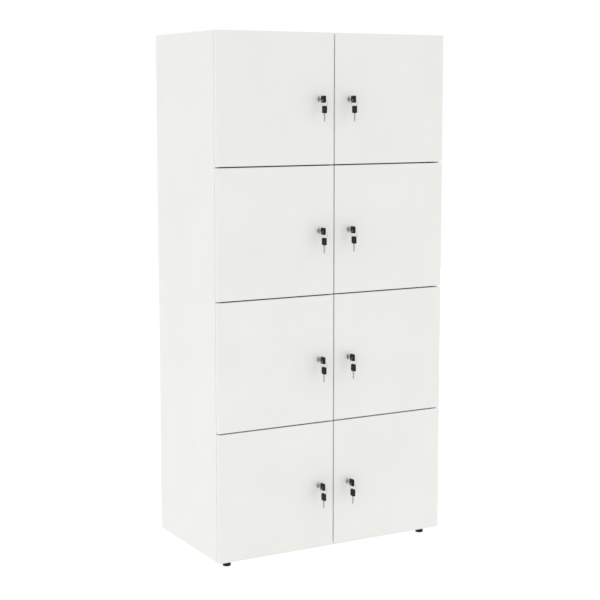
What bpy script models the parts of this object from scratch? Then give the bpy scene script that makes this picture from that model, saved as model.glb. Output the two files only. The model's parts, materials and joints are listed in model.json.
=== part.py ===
"""Storage locker: a board cabinet with two columns of four full-overlay doors.

Each door has a cam lock with a key in it and a spare key on the same ring, and the
cabinet stands on four levelling feet. Metres, +Z up, the front faces -Y. The origin is
the centre of the footprint, keys included, at floor level.
"""
import math

import bmesh
import bpy
from mathutils import Matrix, Vector

# Cabinet
WIDTH = 0.800
BODY_HEIGHT = 1.600
BODY_DEPTH = 0.434          # back of the cabinet to the front face of the doors
FOOT_HEIGHT = 0.022         # floor to the underside of the cabinet
BOARD = 0.018               # thickness of the cabinet's boards
BACK_BOARD = 0.008
ROWS = 4
EDGE_ROUND = 0.0008         # rounding of the edge banding
GAP = 0.0003                # clearance between pieces that touch
SHELF_SETBACK = 0.034       # shelf front edge behind the cabinet's front edges

# Doors
DOOR_BOARD = 0.016
DOOR_STANDOFF = 0.002       # door bumpers hold the door this far off the cabinet
DOOR_GAP = 0.004            # between neighbouring doors
CUP_RADIUS = 0.0177         # bored recess for a concealed hinge cup
CUP_DEPTH = 0.0122
CUP_INSET = 0.0225          # cup centre to the door's hinge edge
CUP_END_INSET = 0.080       # cup centre to the door's top or bottom edge

# Cam lock; depths are measured from the door's front face, inward positive
LOCK_OFFSET = 0.053         # lock axis to the cabinet's centre line
LOCK_BORE_RADIUS = 0.0099
BEZEL_RADIUS = 0.0108
BEZEL_NOSE_RADIUS = 0.0092
BEZEL_HEIGHT = 0.005
BARREL_RADIUS = 0.0094
BARREL_END = 0.028
PLUG_RADIUS = 0.00585
PLUG_BORE_RADIUS = 0.00625
PLUG_FACE = -0.0055
TANG = 0.0074               # square end of the plug that carries the cam
TANG_END = 0.0335
CAM_FRONT = 0.0284
CAM_THICKNESS = 0.0025
CAM_WIDTH = 0.016
CAM_REACH = 0.049           # lock axis to the cam's tip
CAM_HOLE = 0.0080
MORTISE_MARGIN = 0.0012     # free space in front of and behind the cam
MORTISE_ABOVE = 0.010       # mortise ends above and below the lock axis
MORTISE_BELOW = 0.026

# Keys; a key's origin is the centre of its ring slot and its blade points along +Y
SLOT_FACE = -0.031          # ring slot of the key in the lock, from the door's front face
BOW_LENGTH = 0.024
BOW_WIDTH = 0.0215
BOW_THICKNESS = 0.006
BOW_CORNER = 0.004
SLOT_TO_END = 0.0045
SLOT_LENGTH = 0.008
SLOT_WIDTH = 0.0046
SLOT_CORNER = 0.0020
BLADE_LENGTH = 0.024
BLADE_WIDTH = 0.008
BLADE_THICKNESS = 0.0022
RING_RADIUS = 0.0113        # of the ring wire's centre line
WIRE_RADIUS = 0.0008
SPARE_SLOT_DROP = 0.0131    # ring slot of the spare key below the ring's centre

# Levelling feet
FOOT_INSET_X = 0.045
FOOT_INSET_Y = 0.042        # from the doors' front face, and the same from the back
PAD_RADIUS = 0.0125
PAD_HEIGHT = 0.009
HUB_RADIUS = 0.0075
STEM_RADIUS = 0.0039
STEM_LENGTH = 0.0145        # the part of the stem inside the socket
SOCKET_BORE_RADIUS = 0.0043
SOCKET_RADIUS = 0.0062
SOCKET_FLANGE_RADIUS = 0.0125
SOCKET_FLANGE = 0.0015
SOCKET_LENGTH = 0.0150
SOCKET_HOLE_RADIUS = 0.0066
SOCKET_HOLE_DEPTH = 0.0160

ROUND_SEGMENTS = 20
FOOT_SEGMENTS = 16
CORNER_SEGMENTS = 3

MODULE = BODY_HEIGHT / ROWS
TOTAL_DEPTH = BODY_DEPTH - SLOT_FACE + BOW_WIDTH / 2
BACK_Y = TOTAL_DEPTH / 2
DOOR_Y = BACK_Y - BODY_DEPTH
FRONT_Y = DOOR_Y + DOOR_BOARD + DOOR_STANDOFF
BASE_Z = FOOT_HEIGHT
TOP_Z = BASE_Z + BODY_HEIGHT
SIDES = {"left": -1, "right": 1}


# ---- scene helpers -------------------------------------------------------------------

def clear_scene():
    for obj in list(bpy.data.objects):
        bpy.data.objects.remove(obj, do_unlink=True)


def new_collection(name):
    collection = bpy.data.collections.new(name)
    bpy.context.scene.collection.children.link(collection)
    return collection


def new_material(name, color, roughness, metallic=0.0):
    material = bpy.data.materials.new(name)
    material.use_nodes = True
    shader = material.node_tree.nodes["Principled BSDF"]
    shader.inputs["Base Color"].default_value = (*color, 1.0)
    shader.inputs["Roughness"].default_value = roughness
    shader.inputs["Metallic"].default_value = metallic
    return material


def add_part(name, mesh, material, location=(0, 0, 0), parent=None):
    """Put a finished mesh in the locker's collection as a named sub-part."""
    obj = bpy.data.objects.new(name, mesh)
    if not mesh.materials:
        mesh.materials.append(material)
    LOCKER.objects.link(obj)
    obj.location = location
    obj.parent = parent
    return obj


def helper(name, mesh):
    """A shape that only cuts or joins others, kept out of the render."""
    obj = bpy.data.objects.new(name, mesh)
    CUTTERS.objects.link(obj)
    obj.hide_render = True
    obj.display_type = "WIRE"
    return obj


def mesh_from_bmesh(name, bm):
    mesh = bpy.data.meshes.new(name)
    bm.to_mesh(mesh)
    bm.free()
    return mesh


def evaluated_mesh(obj):
    """The object's mesh with its modifiers applied, placed in world space."""
    bpy.context.view_layer.update()
    graph = bpy.context.evaluated_depsgraph_get()
    mesh = bpy.data.meshes.new_from_object(obj.evaluated_get(graph))
    mesh.transform(obj.matrix_world)
    return mesh


# ---- shape helpers -------------------------------------------------------------------

def box_mesh(name, low, high):
    """A box between two corners, with its mesh centred on the object's origin."""
    low, high = Vector(low), Vector(high)
    bm = bmesh.new()
    bmesh.ops.create_cube(bm, size=1.0)
    bmesh.ops.scale(bm, vec=high - low, verts=bm.verts)
    return mesh_from_bmesh(name, bm), (low + high) / 2


def box_helper(name, low, high):
    mesh, centre = box_mesh(name, low, high)
    obj = helper(name, mesh)
    obj.location = centre
    return obj


def cylinder_helper(name, radius, start, end, axis, segments=ROUND_SEGMENTS):
    """A cylinder between two points that lie along one axis, 'Y' or 'Z'."""
    start, end = Vector(start), Vector(end)
    bm = bmesh.new()
    bmesh.ops.create_cone(bm, cap_ends=True, segments=segments, radius1=radius,
                          radius2=radius, depth=(end - start).length)
    if axis == "Y":
        bmesh.ops.rotate(bm, verts=bm.verts, matrix=Matrix.Rotation(math.pi / 2, 3, "X"))
    obj = helper(name, mesh_from_bmesh(name, bm))
    obj.location = (start + end) / 2
    return obj


def turned_mesh(name, profile, segments, closed=False):
    """A profile of (radius, height) points turned about Z; it runs down its outer side."""
    bm = bmesh.new()
    verts = [bm.verts.new((radius, 0.0, height)) for radius, height in profile]
    pairs = list(zip(verts, verts[1:]))
    if closed:
        pairs.append((verts[-1], verts[0]))
    for pair in pairs:
        bm.edges.new(pair)
    obj = helper(name, mesh_from_bmesh(name, bm))
    screw = obj.modifiers.new("Turn", "SCREW")
    screw.steps = segments
    screw.render_steps = segments
    screw.use_merge_vertices = True
    screw.merge_threshold = 0.00001
    mesh = evaluated_mesh(obj)
    bpy.data.objects.remove(obj, do_unlink=True)
    return mesh


def rounded_points(width, height, radius, centre=(0.0, 0.0)):
    """Outline of a rectangle with round corners, counter-clockwise."""
    points = []
    corners = ((1, 1, 0), (-1, 1, 90), (-1, -1, 180), (1, -1, 270))
    for sign_x, sign_y, start in corners:
        corner_x = centre[0] + sign_x * (width / 2 - radius)
        corner_y = centre[1] + sign_y * (height / 2 - radius)
        for step in range(CORNER_SEGMENTS + 1):
            angle = math.radians(start + 90 * step / CORNER_SEGMENTS)
            points.append((corner_x + radius * math.cos(angle),
                           corner_y + radius * math.sin(angle)))
    return points


def plate_mesh(name, outlines, thickness, matrix):
    """A flat plate from 2D outlines, the first the rim and the others holes."""
    curve = bpy.data.curves.new(name, "CURVE")
    curve.dimensions = "2D"
    curve.fill_mode = "BOTH"
    curve.extrude = thickness / 2
    for outline in outlines:
        spline = curve.splines.new("POLY")
        spline.points.add(len(outline) - 1)
        for point, (x, y) in zip(spline.points, outline):
            point.co = (x, y, 0.0, 1.0)
        spline.use_cyclic_u = True
    obj = helper(name, curve)
    mesh = evaluated_mesh(obj)
    bpy.data.objects.remove(obj, do_unlink=True)
    bm = bmesh.new()
    bm.from_mesh(mesh)
    bmesh.ops.remove_doubles(bm, verts=bm.verts, dist=0.00001)
    bmesh.ops.transform(bm, matrix=matrix, verts=bm.verts)
    bmesh.ops.recalc_face_normals(bm, faces=bm.faces)
    bpy.data.meshes.remove(mesh)
    return mesh_from_bmesh(name, bm)


def apply_booleans(mesh, name, operation, tools):
    """Join or cut a mesh with helper objects, and return the resulting mesh."""
    obj = helper(name, mesh)
    for tool in tools:
        boolean = obj.modifiers.new(tool.name, "BOOLEAN")
        boolean.operation = operation
        boolean.solver = "EXACT"
        boolean.object = tool
    result = evaluated_mesh(obj)
    for unused in (obj, *tools):
        bpy.data.objects.remove(unused, do_unlink=True)
    return result


def smooth(mesh):
    mesh.shade_smooth()
    mesh.set_sharp_from_angle(angle=math.radians(35))
    return mesh


def round_edges(obj):
    bevel = obj.modifiers.new("Edge rounding", "BEVEL")
    bevel.width = EDGE_ROUND
    bevel.segments = 1
    bevel.limit_method = "ANGLE"
    bevel.angle_limit = math.radians(60)


# ---- cabinet -------------------------------------------------------------------------

def board(name, low, high):
    mesh, centre = box_mesh(name, low, high)
    obj = add_part(name, mesh, WHITE_BOARD, centre)
    round_edges(obj)
    return obj


def cut_part(obj, tools):
    """Cut holes through or into a part with helper shapes."""
    for tool in tools:
        boolean = obj.modifiers.new(tool.name, "BOOLEAN")
        boolean.operation = "DIFFERENCE"
        boolean.solver = "EXACT"
        boolean.object = tool


def row_centre_z(row):
    """Height of a compartment's middle; row 1 is the top one."""
    return TOP_Z - MODULE * (row - 0.5)


def build_cabinet():
    half = WIDTH / 2
    inner_half = half - BOARD - GAP
    back_front_y = BACK_Y - BACK_BOARD
    for side, sign in SIDES.items():
        xs = sorted((sign * half, sign * (half - BOARD)))
        board(f"side_panel_{side}", (xs[0], FRONT_Y, BASE_Z), (xs[1], BACK_Y, TOP_Z))
    board("top_panel", (-inner_half, FRONT_Y, TOP_Z - BOARD),
          (inner_half, back_front_y - GAP, TOP_Z))
    bottom = board("bottom_panel", (-inner_half, FRONT_Y, BASE_Z),
                   (inner_half, back_front_y - GAP, BASE_Z + BOARD))
    board("back_panel", (-inner_half, back_front_y, BASE_Z), (inner_half, BACK_Y, TOP_Z))
    partition = board("partition", (-BOARD / 2, FRONT_Y, BASE_Z + BOARD + GAP),
                      (BOARD / 2, back_front_y - GAP, TOP_Z - BOARD - GAP))
    cut_part(bottom, [socket_hole(corner, place) for corner, place in foot_places()])
    cut_part(partition, [mortise(row) for row in range(1, ROWS + 1)])
    build_shelves(back_front_y)


def build_shelves(back_front_y):
    for row in range(1, ROWS):
        middle_z = TOP_Z - MODULE * row
        for side, sign in SIDES.items():
            near = BOARD / 2 + GAP
            far = WIDTH / 2 - BOARD - GAP
            xs = sorted((sign * near, sign * far))
            board(f"shelf_{side}_{row}",
                  (xs[0], FRONT_Y + SHELF_SETBACK, middle_z - BOARD / 2),
                  (xs[1], back_front_y - GAP, middle_z + BOARD / 2))


def mortise(row):
    """Slot through the partition that takes the tips of both locks' cams in a row."""
    front = DOOR_Y + CAM_FRONT - MORTISE_MARGIN
    back = DOOR_Y + CAM_FRONT + CAM_THICKNESS + MORTISE_MARGIN
    axis_z = row_centre_z(row)
    return box_helper(f"mortise_{row}", (-BOARD, front, axis_z - MORTISE_BELOW),
                      (BOARD, back, axis_z + MORTISE_ABOVE))


# ---- levelling feet ------------------------------------------------------------------

def foot_places():
    """Corner name and position of each foot."""
    places = []
    for end, y in (("front", DOOR_Y + FOOT_INSET_Y), ("rear", BACK_Y - FOOT_INSET_Y)):
        for side, sign in SIDES.items():
            places.append((f"{end}_{side}", (sign * (WIDTH / 2 - FOOT_INSET_X), y)))
    return places


def socket_hole(corner, place):
    x, y = place
    return cylinder_helper(f"socket_hole_{corner}", SOCKET_HOLE_RADIUS,
                           (x, y, BASE_Z - BOARD), (x, y, BASE_Z + SOCKET_HOLE_DEPTH), "Z",
                           FOOT_SEGMENTS)


def foot_mesh():
    """Round glide with a hub and a threaded stem, standing on z = 0."""
    hub_top = FOOT_HEIGHT - SOCKET_FLANGE - 2 * GAP
    profile = [(0.0, hub_top + STEM_LENGTH), (STEM_RADIUS, hub_top + STEM_LENGTH),
               (STEM_RADIUS, hub_top), (HUB_RADIUS, hub_top), (HUB_RADIUS, PAD_HEIGHT + 0.002),
               (PAD_RADIUS, PAD_HEIGHT), (PAD_RADIUS, 0.0), (0.0, 0.0)]
    return smooth(turned_mesh("levelling_foot", profile, FOOT_SEGMENTS))


def socket_mesh():
    """Flanged threaded insert; z = 0 is the underside of the bottom panel."""
    profile = [(SOCKET_BORE_RADIUS, SOCKET_LENGTH), (SOCKET_RADIUS, SOCKET_LENGTH),
               (SOCKET_RADIUS, -GAP), (SOCKET_FLANGE_RADIUS, -GAP),
               (SOCKET_FLANGE_RADIUS, -GAP - SOCKET_FLANGE),
               (SOCKET_BORE_RADIUS, -GAP - SOCKET_FLANGE)]
    return smooth(turned_mesh("foot_socket", profile, FOOT_SEGMENTS, closed=True))


def build_feet():
    foot, socket = foot_mesh(), socket_mesh()
    for corner, (x, y) in foot_places():
        add_part(f"foot_socket_{corner}", socket, ZINC, (x, y, BASE_Z))
        add_part(f"levelling_foot_{corner}", foot, BLACK_PLASTIC, (x, y, 0.0))


# ---- locks and keys ------------------------------------------------------------------

TO_FRONT = Matrix.Rotation(math.pi / 2, 4, "X")      # turned about Z -> about Y, nose at -Y
TO_SIDE = Matrix(((0, 0, 1, 0), (1, 0, 0, 0), (0, 1, 0, 0), (0, 0, 0, 1)))   # plate in YZ
BLADE_DOWN = Matrix.Rotation(-math.pi / 2, 4, "X")


def housing_mesh():
    """Bezel and barrel of the lock about the Y axis, from the door's front face."""
    profile = [(PLUG_BORE_RADIUS, BEZEL_HEIGHT), (BEZEL_NOSE_RADIUS, BEZEL_HEIGHT),
               (BEZEL_RADIUS, BEZEL_HEIGHT * 0.5), (BEZEL_RADIUS, GAP),
               (BARREL_RADIUS, GAP), (BARREL_RADIUS, -BARREL_END),
               (PLUG_BORE_RADIUS, -BARREL_END)]
    mesh = turned_mesh("lock_housing", profile, ROUND_SEGMENTS, closed=True)
    mesh.transform(TO_FRONT)
    return smooth(mesh)


def bow_mesh():
    """Plastic key head in the YZ plane with its ring slot at the origin."""
    rim = rounded_points(BOW_LENGTH, BOW_WIDTH, BOW_CORNER,
                         (BOW_LENGTH / 2 - SLOT_TO_END, 0.0))
    slot = rounded_points(SLOT_WIDTH, SLOT_LENGTH, SLOT_CORNER)
    return plate_mesh("key_bow", [rim, slot], BOW_THICKNESS, TO_SIDE)


def blade_helper():
    start = BOW_LENGTH - SLOT_TO_END - 0.002
    half = (BLADE_THICKNESS / 2, BLADE_WIDTH / 2)
    return box_helper("key_blade", (-half[0], start, -half[1]),
                      (half[0], start + 0.002 + BLADE_LENGTH, half[1]))


def key_mesh():
    """A whole key: head and blade in one body."""
    return apply_booleans(bow_mesh(), "key", "UNION", [blade_helper()])


def plug_helper():
    profile = [(0.0, -PLUG_FACE), (PLUG_RADIUS, -PLUG_FACE), (PLUG_RADIUS, -BARREL_END),
               (0.0, -BARREL_END)]
    mesh = turned_mesh("lock_plug", profile, ROUND_SEGMENTS)
    mesh.transform(TO_FRONT)
    return helper("lock_plug", mesh)


def key_and_plug_mesh():
    """The turning core of a lock with its key: origin on the lock axis at the door face."""
    key = key_mesh()
    key.transform(Matrix.Translation((0.0, SLOT_FACE, 0.0)))
    tang = box_helper("lock_tang", (-TANG / 2, BARREL_END - 0.002, -TANG / 2),
                      (TANG / 2, TANG_END, TANG / 2))
    return apply_booleans(key, "key_and_plug", "UNION", [plug_helper(), tang])


def cam_mesh():
    """Flat cam with a square hole on the lock axis, hanging down."""
    length = CAM_REACH + CAM_WIDTH / 2
    rim = rounded_points(CAM_WIDTH, length, 0.003, (0.0, (CAM_WIDTH / 2 - CAM_REACH) / 2))
    half = CAM_HOLE / 2
    hole = [(half, half), (-half, half), (-half, -half), (half, -half)]
    place = Matrix.Translation((0.0, CAM_FRONT + CAM_THICKNESS / 2, 0.0)) @ TO_FRONT
    return plate_mesh("cam", [rim, hole], CAM_THICKNESS, place)


def spare_key_mesh():
    """Key ring with the spare key hanging from it; the origin is the ring's centre."""
    key = key_mesh()
    key.transform(Matrix.Translation((0.0, 0.0, -SPARE_SLOT_DROP)) @ BLADE_DOWN)
    bpy.ops.mesh.primitive_torus_add(
        rotation=(math.pi / 2, 0.0, 0.0),
        major_radius=RING_RADIUS, minor_radius=WIRE_RADIUS,
        major_segments=ROUND_SEGMENTS, minor_segments=6)
    torus = bpy.context.object
    ring = helper("key_ring", evaluated_mesh(torus))
    bpy.data.objects.remove(torus, do_unlink=True)
    return apply_booleans(key, "spare_key", "UNION", [ring])


# ---- doors ---------------------------------------------------------------------------

def door_span(row):
    """Bottom and top of a row's door; the outer doors reach the cabinet's ends."""
    middle = row_centre_z(row)
    top_gap = 0.0 if row == 1 else DOOR_GAP / 2
    bottom_gap = 0.0 if row == ROWS else DOOR_GAP / 2
    return middle - MODULE / 2 + bottom_gap, middle + MODULE / 2 - top_gap


def build_door(side, sign, row):
    """A door whose origin is on its hinge axis, at the height of its lock."""
    hinge_x = sign * WIDTH / 2
    middle_z = row_centre_z(row)
    bottom, top = door_span(row)
    xs = sorted((0.0, -sign * (WIDTH / 2 - DOOR_GAP / 2)))
    mesh, centre = box_mesh(f"door_{side}_{row}", (xs[0], 0.0, bottom - middle_z),
                            (xs[1], DOOR_BOARD, top - middle_z))
    mesh.transform(Matrix.Translation(centre))
    door = add_part(f"door_{side}_{row}", mesh, WHITE_BOARD, (hinge_x, DOOR_Y, middle_z))
    origin = Vector((hinge_x, DOOR_Y, middle_z))
    lock_x = -sign * (WIDTH / 2 - LOCK_OFFSET)
    tools = [cylinder_helper(f"lock_bore_{side}_{row}", LOCK_BORE_RADIUS,
                             origin + Vector((lock_x, -BOARD, 0.0)),
                             origin + Vector((lock_x, 2 * BOARD, 0.0)), "Y")]
    cup_x = -sign * CUP_INSET
    for end, cup_z in (("low", bottom + CUP_END_INSET), ("high", top - CUP_END_INSET)):
        tools.append(cylinder_helper(
            f"cup_recess_{side}_{row}_{end}", CUP_RADIUS,
            (hinge_x + cup_x, DOOR_Y + DOOR_BOARD - CUP_DEPTH, cup_z),
            (hinge_x + cup_x, DOOR_Y + 2 * BOARD, cup_z), "Y"))
    round_edges(door)
    cut_part(door, tools)
    return door, (lock_x, 0.0, 0.0)


def build_doors():
    housing, core, cam, spare = (housing_mesh(), key_and_plug_mesh(), cam_mesh(),
                                 spare_key_mesh())
    for side, sign in SIDES.items():
        for row in range(1, ROWS + 1):
            tag = f"{side}_{row}"
            door, lock_place = build_door(side, sign, row)
            add_part(f"lock_housing_{tag}", housing, CHROME, lock_place, door)
            turning = add_part(f"key_and_plug_{tag}", core, CHROME, lock_place, door)
            add_part(f"cam_{tag}", cam, ZINC, (0, 0, 0), turning)
            add_part(f"spare_key_{tag}", spare, BLACK_PLASTIC,
                     (0.0, SLOT_FACE, -RING_RADIUS), turning)


clear_scene()
LOCKER = new_collection("storage_locker")
CUTTERS = new_collection("cutters")
WHITE_BOARD = new_material("white_board", (0.83, 0.83, 0.80), 0.45)
BLACK_PLASTIC = new_material("black_plastic", (0.02, 0.02, 0.02), 0.45)
CHROME = new_material("chromed_steel", (0.72, 0.72, 0.72), 0.22, 1.0)
ZINC = new_material("zinc_plated_steel", (0.62, 0.63, 0.64), 0.35, 1.0)
build_cabinet()
build_feet()
build_doors()
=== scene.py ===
"""Looks of the storage locker: white boards, eight keyed doors and four levelling feet.

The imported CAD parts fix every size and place, and each is stood for here by finer pieces:
boards get edge banding and raw cut faces, locks get threads, nuts and keyways, keys get
milled blades, and each door gets its two concealed hinges. Metres, +Z up, front at -Y.
"""

import json
import math

import bmesh
import bpy
from mathutils import Matrix, Vector


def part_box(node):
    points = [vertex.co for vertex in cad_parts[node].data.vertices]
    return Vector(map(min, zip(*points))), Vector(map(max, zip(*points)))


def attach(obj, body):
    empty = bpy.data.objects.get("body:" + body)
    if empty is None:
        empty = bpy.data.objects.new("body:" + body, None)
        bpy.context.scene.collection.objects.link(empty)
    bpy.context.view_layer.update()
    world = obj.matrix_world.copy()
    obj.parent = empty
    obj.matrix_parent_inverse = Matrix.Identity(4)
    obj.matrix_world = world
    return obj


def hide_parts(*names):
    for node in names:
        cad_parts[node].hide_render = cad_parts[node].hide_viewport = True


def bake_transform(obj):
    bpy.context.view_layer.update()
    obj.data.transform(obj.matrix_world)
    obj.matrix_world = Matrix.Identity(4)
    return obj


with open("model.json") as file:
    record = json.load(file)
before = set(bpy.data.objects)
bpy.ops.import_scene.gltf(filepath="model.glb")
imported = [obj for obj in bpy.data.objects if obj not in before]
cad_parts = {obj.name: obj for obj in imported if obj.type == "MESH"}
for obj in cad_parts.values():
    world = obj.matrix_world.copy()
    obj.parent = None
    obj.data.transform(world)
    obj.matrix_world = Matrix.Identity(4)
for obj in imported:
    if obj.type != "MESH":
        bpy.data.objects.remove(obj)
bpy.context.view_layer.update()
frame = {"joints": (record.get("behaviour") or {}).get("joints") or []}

# ---- names of the parts, and places read from the frame --------------------------------

SIDES = {"left": -1, "right": 1}
ROWS = (1, 2, 3, 4)
TAGS = [(side, sign, row) for side, sign in SIDES.items() for row in ROWS]
FOOT_CORNERS = ("front_left", "front_right", "rear_left", "rear_right")
JOINT_AT = {j["name"]: Vector(j["pos_m"]) for j in frame["joints"] if j["type"] == "hinge"}

DOOR_FRONT_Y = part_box("door_left_1")[0].y
DOOR_REAR_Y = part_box("door_left_1")[1].y
FRONT_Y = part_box("partition")[0].y
BACK_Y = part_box("back_panel")[1].y
BASE_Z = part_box("side_panel_left")[0].z
HALF_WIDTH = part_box("side_panel_right")[1].x
INNER_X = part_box("side_panel_right")[0].x
PARTITION_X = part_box("partition")[1].x
DOOR_THICKNESS = DOOR_REAR_Y - DOOR_FRONT_Y

# ---- sizes of the details --------------------------------------------------------------

BAND = 0.0008               # thickness of the edge banding
BAND_EDGE = 0.0006          # rounding of its outer edges
BAND_CORNER = 0.0016        # rounding of a board's four corners, seen face on
BAND_SEAM = 0.00002         # gap between the banding and the board's edge
SEAM_CHAMFER = 0.00010      # groove between a board's face and its banding

BORE_RADIUS = 0.0099
CUP_BORE_RADIUS = 0.0177
CUP_BORE_DEPTH = 0.0122
CUP_INSET = 0.0225          # cup centre to the door's hinge edge
CUP_END_INSET = 0.080       # cup centre to the door's top or bottom edge

MORTISE_FRONT = 0.0272      # cam slots in the partition, from the doors' front face
MORTISE_BACK = 0.0321
MORTISE_ABOVE = 0.010       # and from the lock's axis
MORTISE_BELOW = 0.026
SOCKET_HOLE_RADIUS = 0.0066
SOCKET_HOLE_DEPTH = 0.016

BEZEL_RADIUS = 0.0108
BEZEL_HEIGHT = 0.005
BARREL_RADIUS = 0.0094
BARREL_END = 0.028          # rear end of barrel and plug, from the door's front face
THREAD_PITCH = 0.001
THREAD_DEPTH = 0.0005
PLUG_RADIUS = 0.00585
PLUG_FACE = -0.0055         # front end of the plug
CAM_FRONT = 0.0284          # front of the cam, behind the barrel
CAM_BACK = CAM_FRONT + 0.0025
CAM_WIDTH = 0.016
CAM_REACH = 0.049           # lock axis to the far end of the cam
TAIL_SQUARE = 0.0074        # square end of the plug, which turns the cam

SLOT_FACE = -0.031          # ring slot of the key in the lock, from the door's front face
SLOT_TO_END = 0.0045        # ring slot to the free end of the head
SLOT_LENGTH = 0.008
SLOT_WIDTH = 0.0046
BOW_LENGTH = 0.0225
BOW_WIDTH = 0.0215
BOW_THICKNESS = 0.006
BOW_CORNER = 0.0028
BOW_COLLAR = 0.0007         # narrow end of the head, round the blade
BOW_END = BOW_LENGTH - SLOT_TO_END      # ring slot to the blade end of the head
BLADE_START = BOW_END - 0.003           # ring slot to the root of the blade, in the head
BLADE_END = 0.0435                      # ring slot to the tip of the blade
BLADE_WIDTH = 0.008
BLADE_THICKNESS = 0.0022
KEY_CUTS = (0.0004, 0.0016, 0.0009, 0.0020, 0.0012)     # depths, from the head on
KEY_CUT_START = 0.0085      # root of the blade to its first cut
KEY_CUT_PITCH = 0.0026
TIP_LENGTH = 0.0060
TIP_TRIM = 0.0034           # taken off both edges of the blade at its tip
RING_RADIUS = 0.0113
RING_WIRE = 0.00035
RING_TRAVEL = 0.00074       # each end of the split ring, out of the ring's middle plane
RING_STEPS, RING_TURNS = 96, 2
SPARE_SLOT_DROP = 0.0131    # spare key's slot below the ring's centre

HINGE_TO_FRONT = 0.037      # cabinet front edge to the mounting plate's screws
CUP_PIN_BACK = 0.0025       # cup centre to its pin, towards the hinge edge
CUP_PIN_DEPTH = 0.0064      # and how deep it sits below the cup's rim
LINK_OFF_PANEL = 0.0090     # arm end of the links, off the side panel
LINK_DEPTH = 0.004          # and behind the cabinet's front edge
LINK_OFFSET = 0.0036        # one link is this far above the hinge's middle, the other below
LINK_STEPS = 24

BUMPER_X = 0.0057           # from the middle of the cabinet
BUMPER_INSET = 0.035        # from the door's top or bottom edge
BACK_SCREW_RADIUS, BACK_SCREW_HEIGHT = 0.0038, 0.0009
BACK_SCREW_X = (-0.30, -0.10, 0.10, 0.30)
BACK_SCREW_INSET = 0.009    # screws into the top and bottom panels, above their undersides
BACK_SCREW_SPREAD = (-0.1, 0.1)     # screws into the partition, from each lock's height
COVER_INSET_X = 0.034       # connector covers, from the ends of a shelf
COVER_FRONT, COVER_REAR = 0.045, 0.055      # and from its front and rear edges

CUTTER_MARGIN = 0.010       # how far a cutter stands out of the face it cuts
SHARP_ANGLE = math.radians(35)      # a steeper edge between two faces stays sharp
ORIGIN, UP, INWARD = Vector((0, 0, 0)), Vector((0, 0, 1)), Vector((0, 1, 0))
LEVEL = Matrix.Identity(4)


# ---- mesh tools ------------------------------------------------------------------------

def smooth_mesh(mesh):
    mesh.shade_smooth()
    mesh.set_sharp_from_angle(angle=SHARP_ANGLE)
    return mesh


def mesh_of(name, bm, material):
    """Turn a bmesh of closed solids into a mesh with outward faces and smooth rounds."""
    bmesh.ops.recalc_face_normals(bm, faces=bm.faces)
    mesh = bpy.data.meshes.new(name)
    bm.to_mesh(mesh)
    bm.free()
    mesh.materials.append(material)
    return smooth_mesh(mesh)


def new_piece(name, mesh, body, nodes=(), location=(0, 0, 0)):
    """Show a mesh as a piece that rides on a body and stands for some CAD nodes."""
    obj = bpy.data.objects.new(name, mesh)
    bpy.context.scene.collection.objects.link(obj)
    obj.location = location
    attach(obj, body)
    if nodes:
        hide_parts(*nodes)
    return obj


def loft(bm, rings, closed=False):
    """Skin equal rings of points; an open loft gets a flat cap at each end."""
    loops = [[bm.verts.new(point) for point in ring] for ring in rings]
    pairs = list(zip(loops, loops[1:]))
    if closed:
        pairs.append((loops[-1], loops[0]))
    faces = []
    for near, far in pairs:
        for i in range(len(near)):
            j = (i + 1) % len(near)
            faces.append(bm.faces.new((near[i], near[j], far[j], far[i])))
    if not closed:
        faces.append(bm.faces.new(loops[0]))
        faces.append(bm.faces.new(loops[-1]))
    return faces


def rounded_rect(width, height, radius, segments=6, centre=(0.0, 0.0)):
    """Outline of a rectangle with round corners, counter-clockwise."""
    points = []
    for sign_x, sign_y, start in ((1, 1, 0), (-1, 1, 90), (-1, -1, 180), (1, -1, 270)):
        for step in range(segments + 1):
            angle = math.radians(start + 90 * step / segments)
            points.append((centre[0] + sign_x * (width / 2 - radius) + radius * math.cos(angle),
                           centre[1] + sign_y * (height / 2 - radius) + radius * math.sin(angle)))
    return points


def superellipse(half_x, half_y, power, count):
    """Closed outline from an ellipse, power 2, to nearly a rectangle, power 8 or more."""
    points = []
    for step in range(count):
        angle = 2 * math.pi * (step + 0.5) / count
        cos, sin = math.cos(angle), math.sin(angle)
        reach = (abs(cos / half_x) ** power + abs(sin / half_y) ** power) ** (-1 / power)
        points.append((reach * cos, reach * sin))
    return points


def hexagon(apothem, count, chamfer=1.0):
    """Hexagon outline; a chamfer below 1 trims its corners towards a circle."""
    points = []
    for step in range(count):
        angle = 2 * math.pi * (step + 0.5) / count
        off_flat = (angle + math.pi / 6) % (math.pi / 3) - math.pi / 6
        reach = apothem / math.cos(off_flat)
        reach = min(reach, apothem * (1 + (2 / math.sqrt(3) - 1) * chamfer))
        points.append((reach * math.cos(angle), reach * math.sin(angle)))
    return points


def circle(radius, count):
    return superellipse(radius, radius, 2, count)


def frame_along(axis):
    """Two directions square to an axis, for outlines drawn across it."""
    across = UP if abs(axis.z) < 0.9 else Vector((1, 0, 0))
    first = across.cross(axis).normalized()
    return first, axis.cross(first).normalized()


def ring_at(outline, origin, axis, height):
    """Place a 2D outline square to an axis, at a height along it."""
    first, second = frame_along(axis)
    return [origin + first * x + second * y + axis * height for x, y in outline]


def turn(bm, profile, origin, axis, count, closed=False):
    """Turn a profile of (radius, height along the axis) points about the axis."""
    rings = [ring_at(circle(radius, count), origin, axis, height)
             for radius, height in profile]
    return loft(bm, rings, closed)


def arc(centre, radius, start, end, steps):
    """Points of an arc for a profile; angles in degrees."""
    points = []
    for step in range(steps + 1):
        angle = math.radians(start + (end - start) * step / steps)
        points.append((centre[0] + radius * math.cos(angle),
                       centre[1] + radius * math.sin(angle)))
    return points


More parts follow.
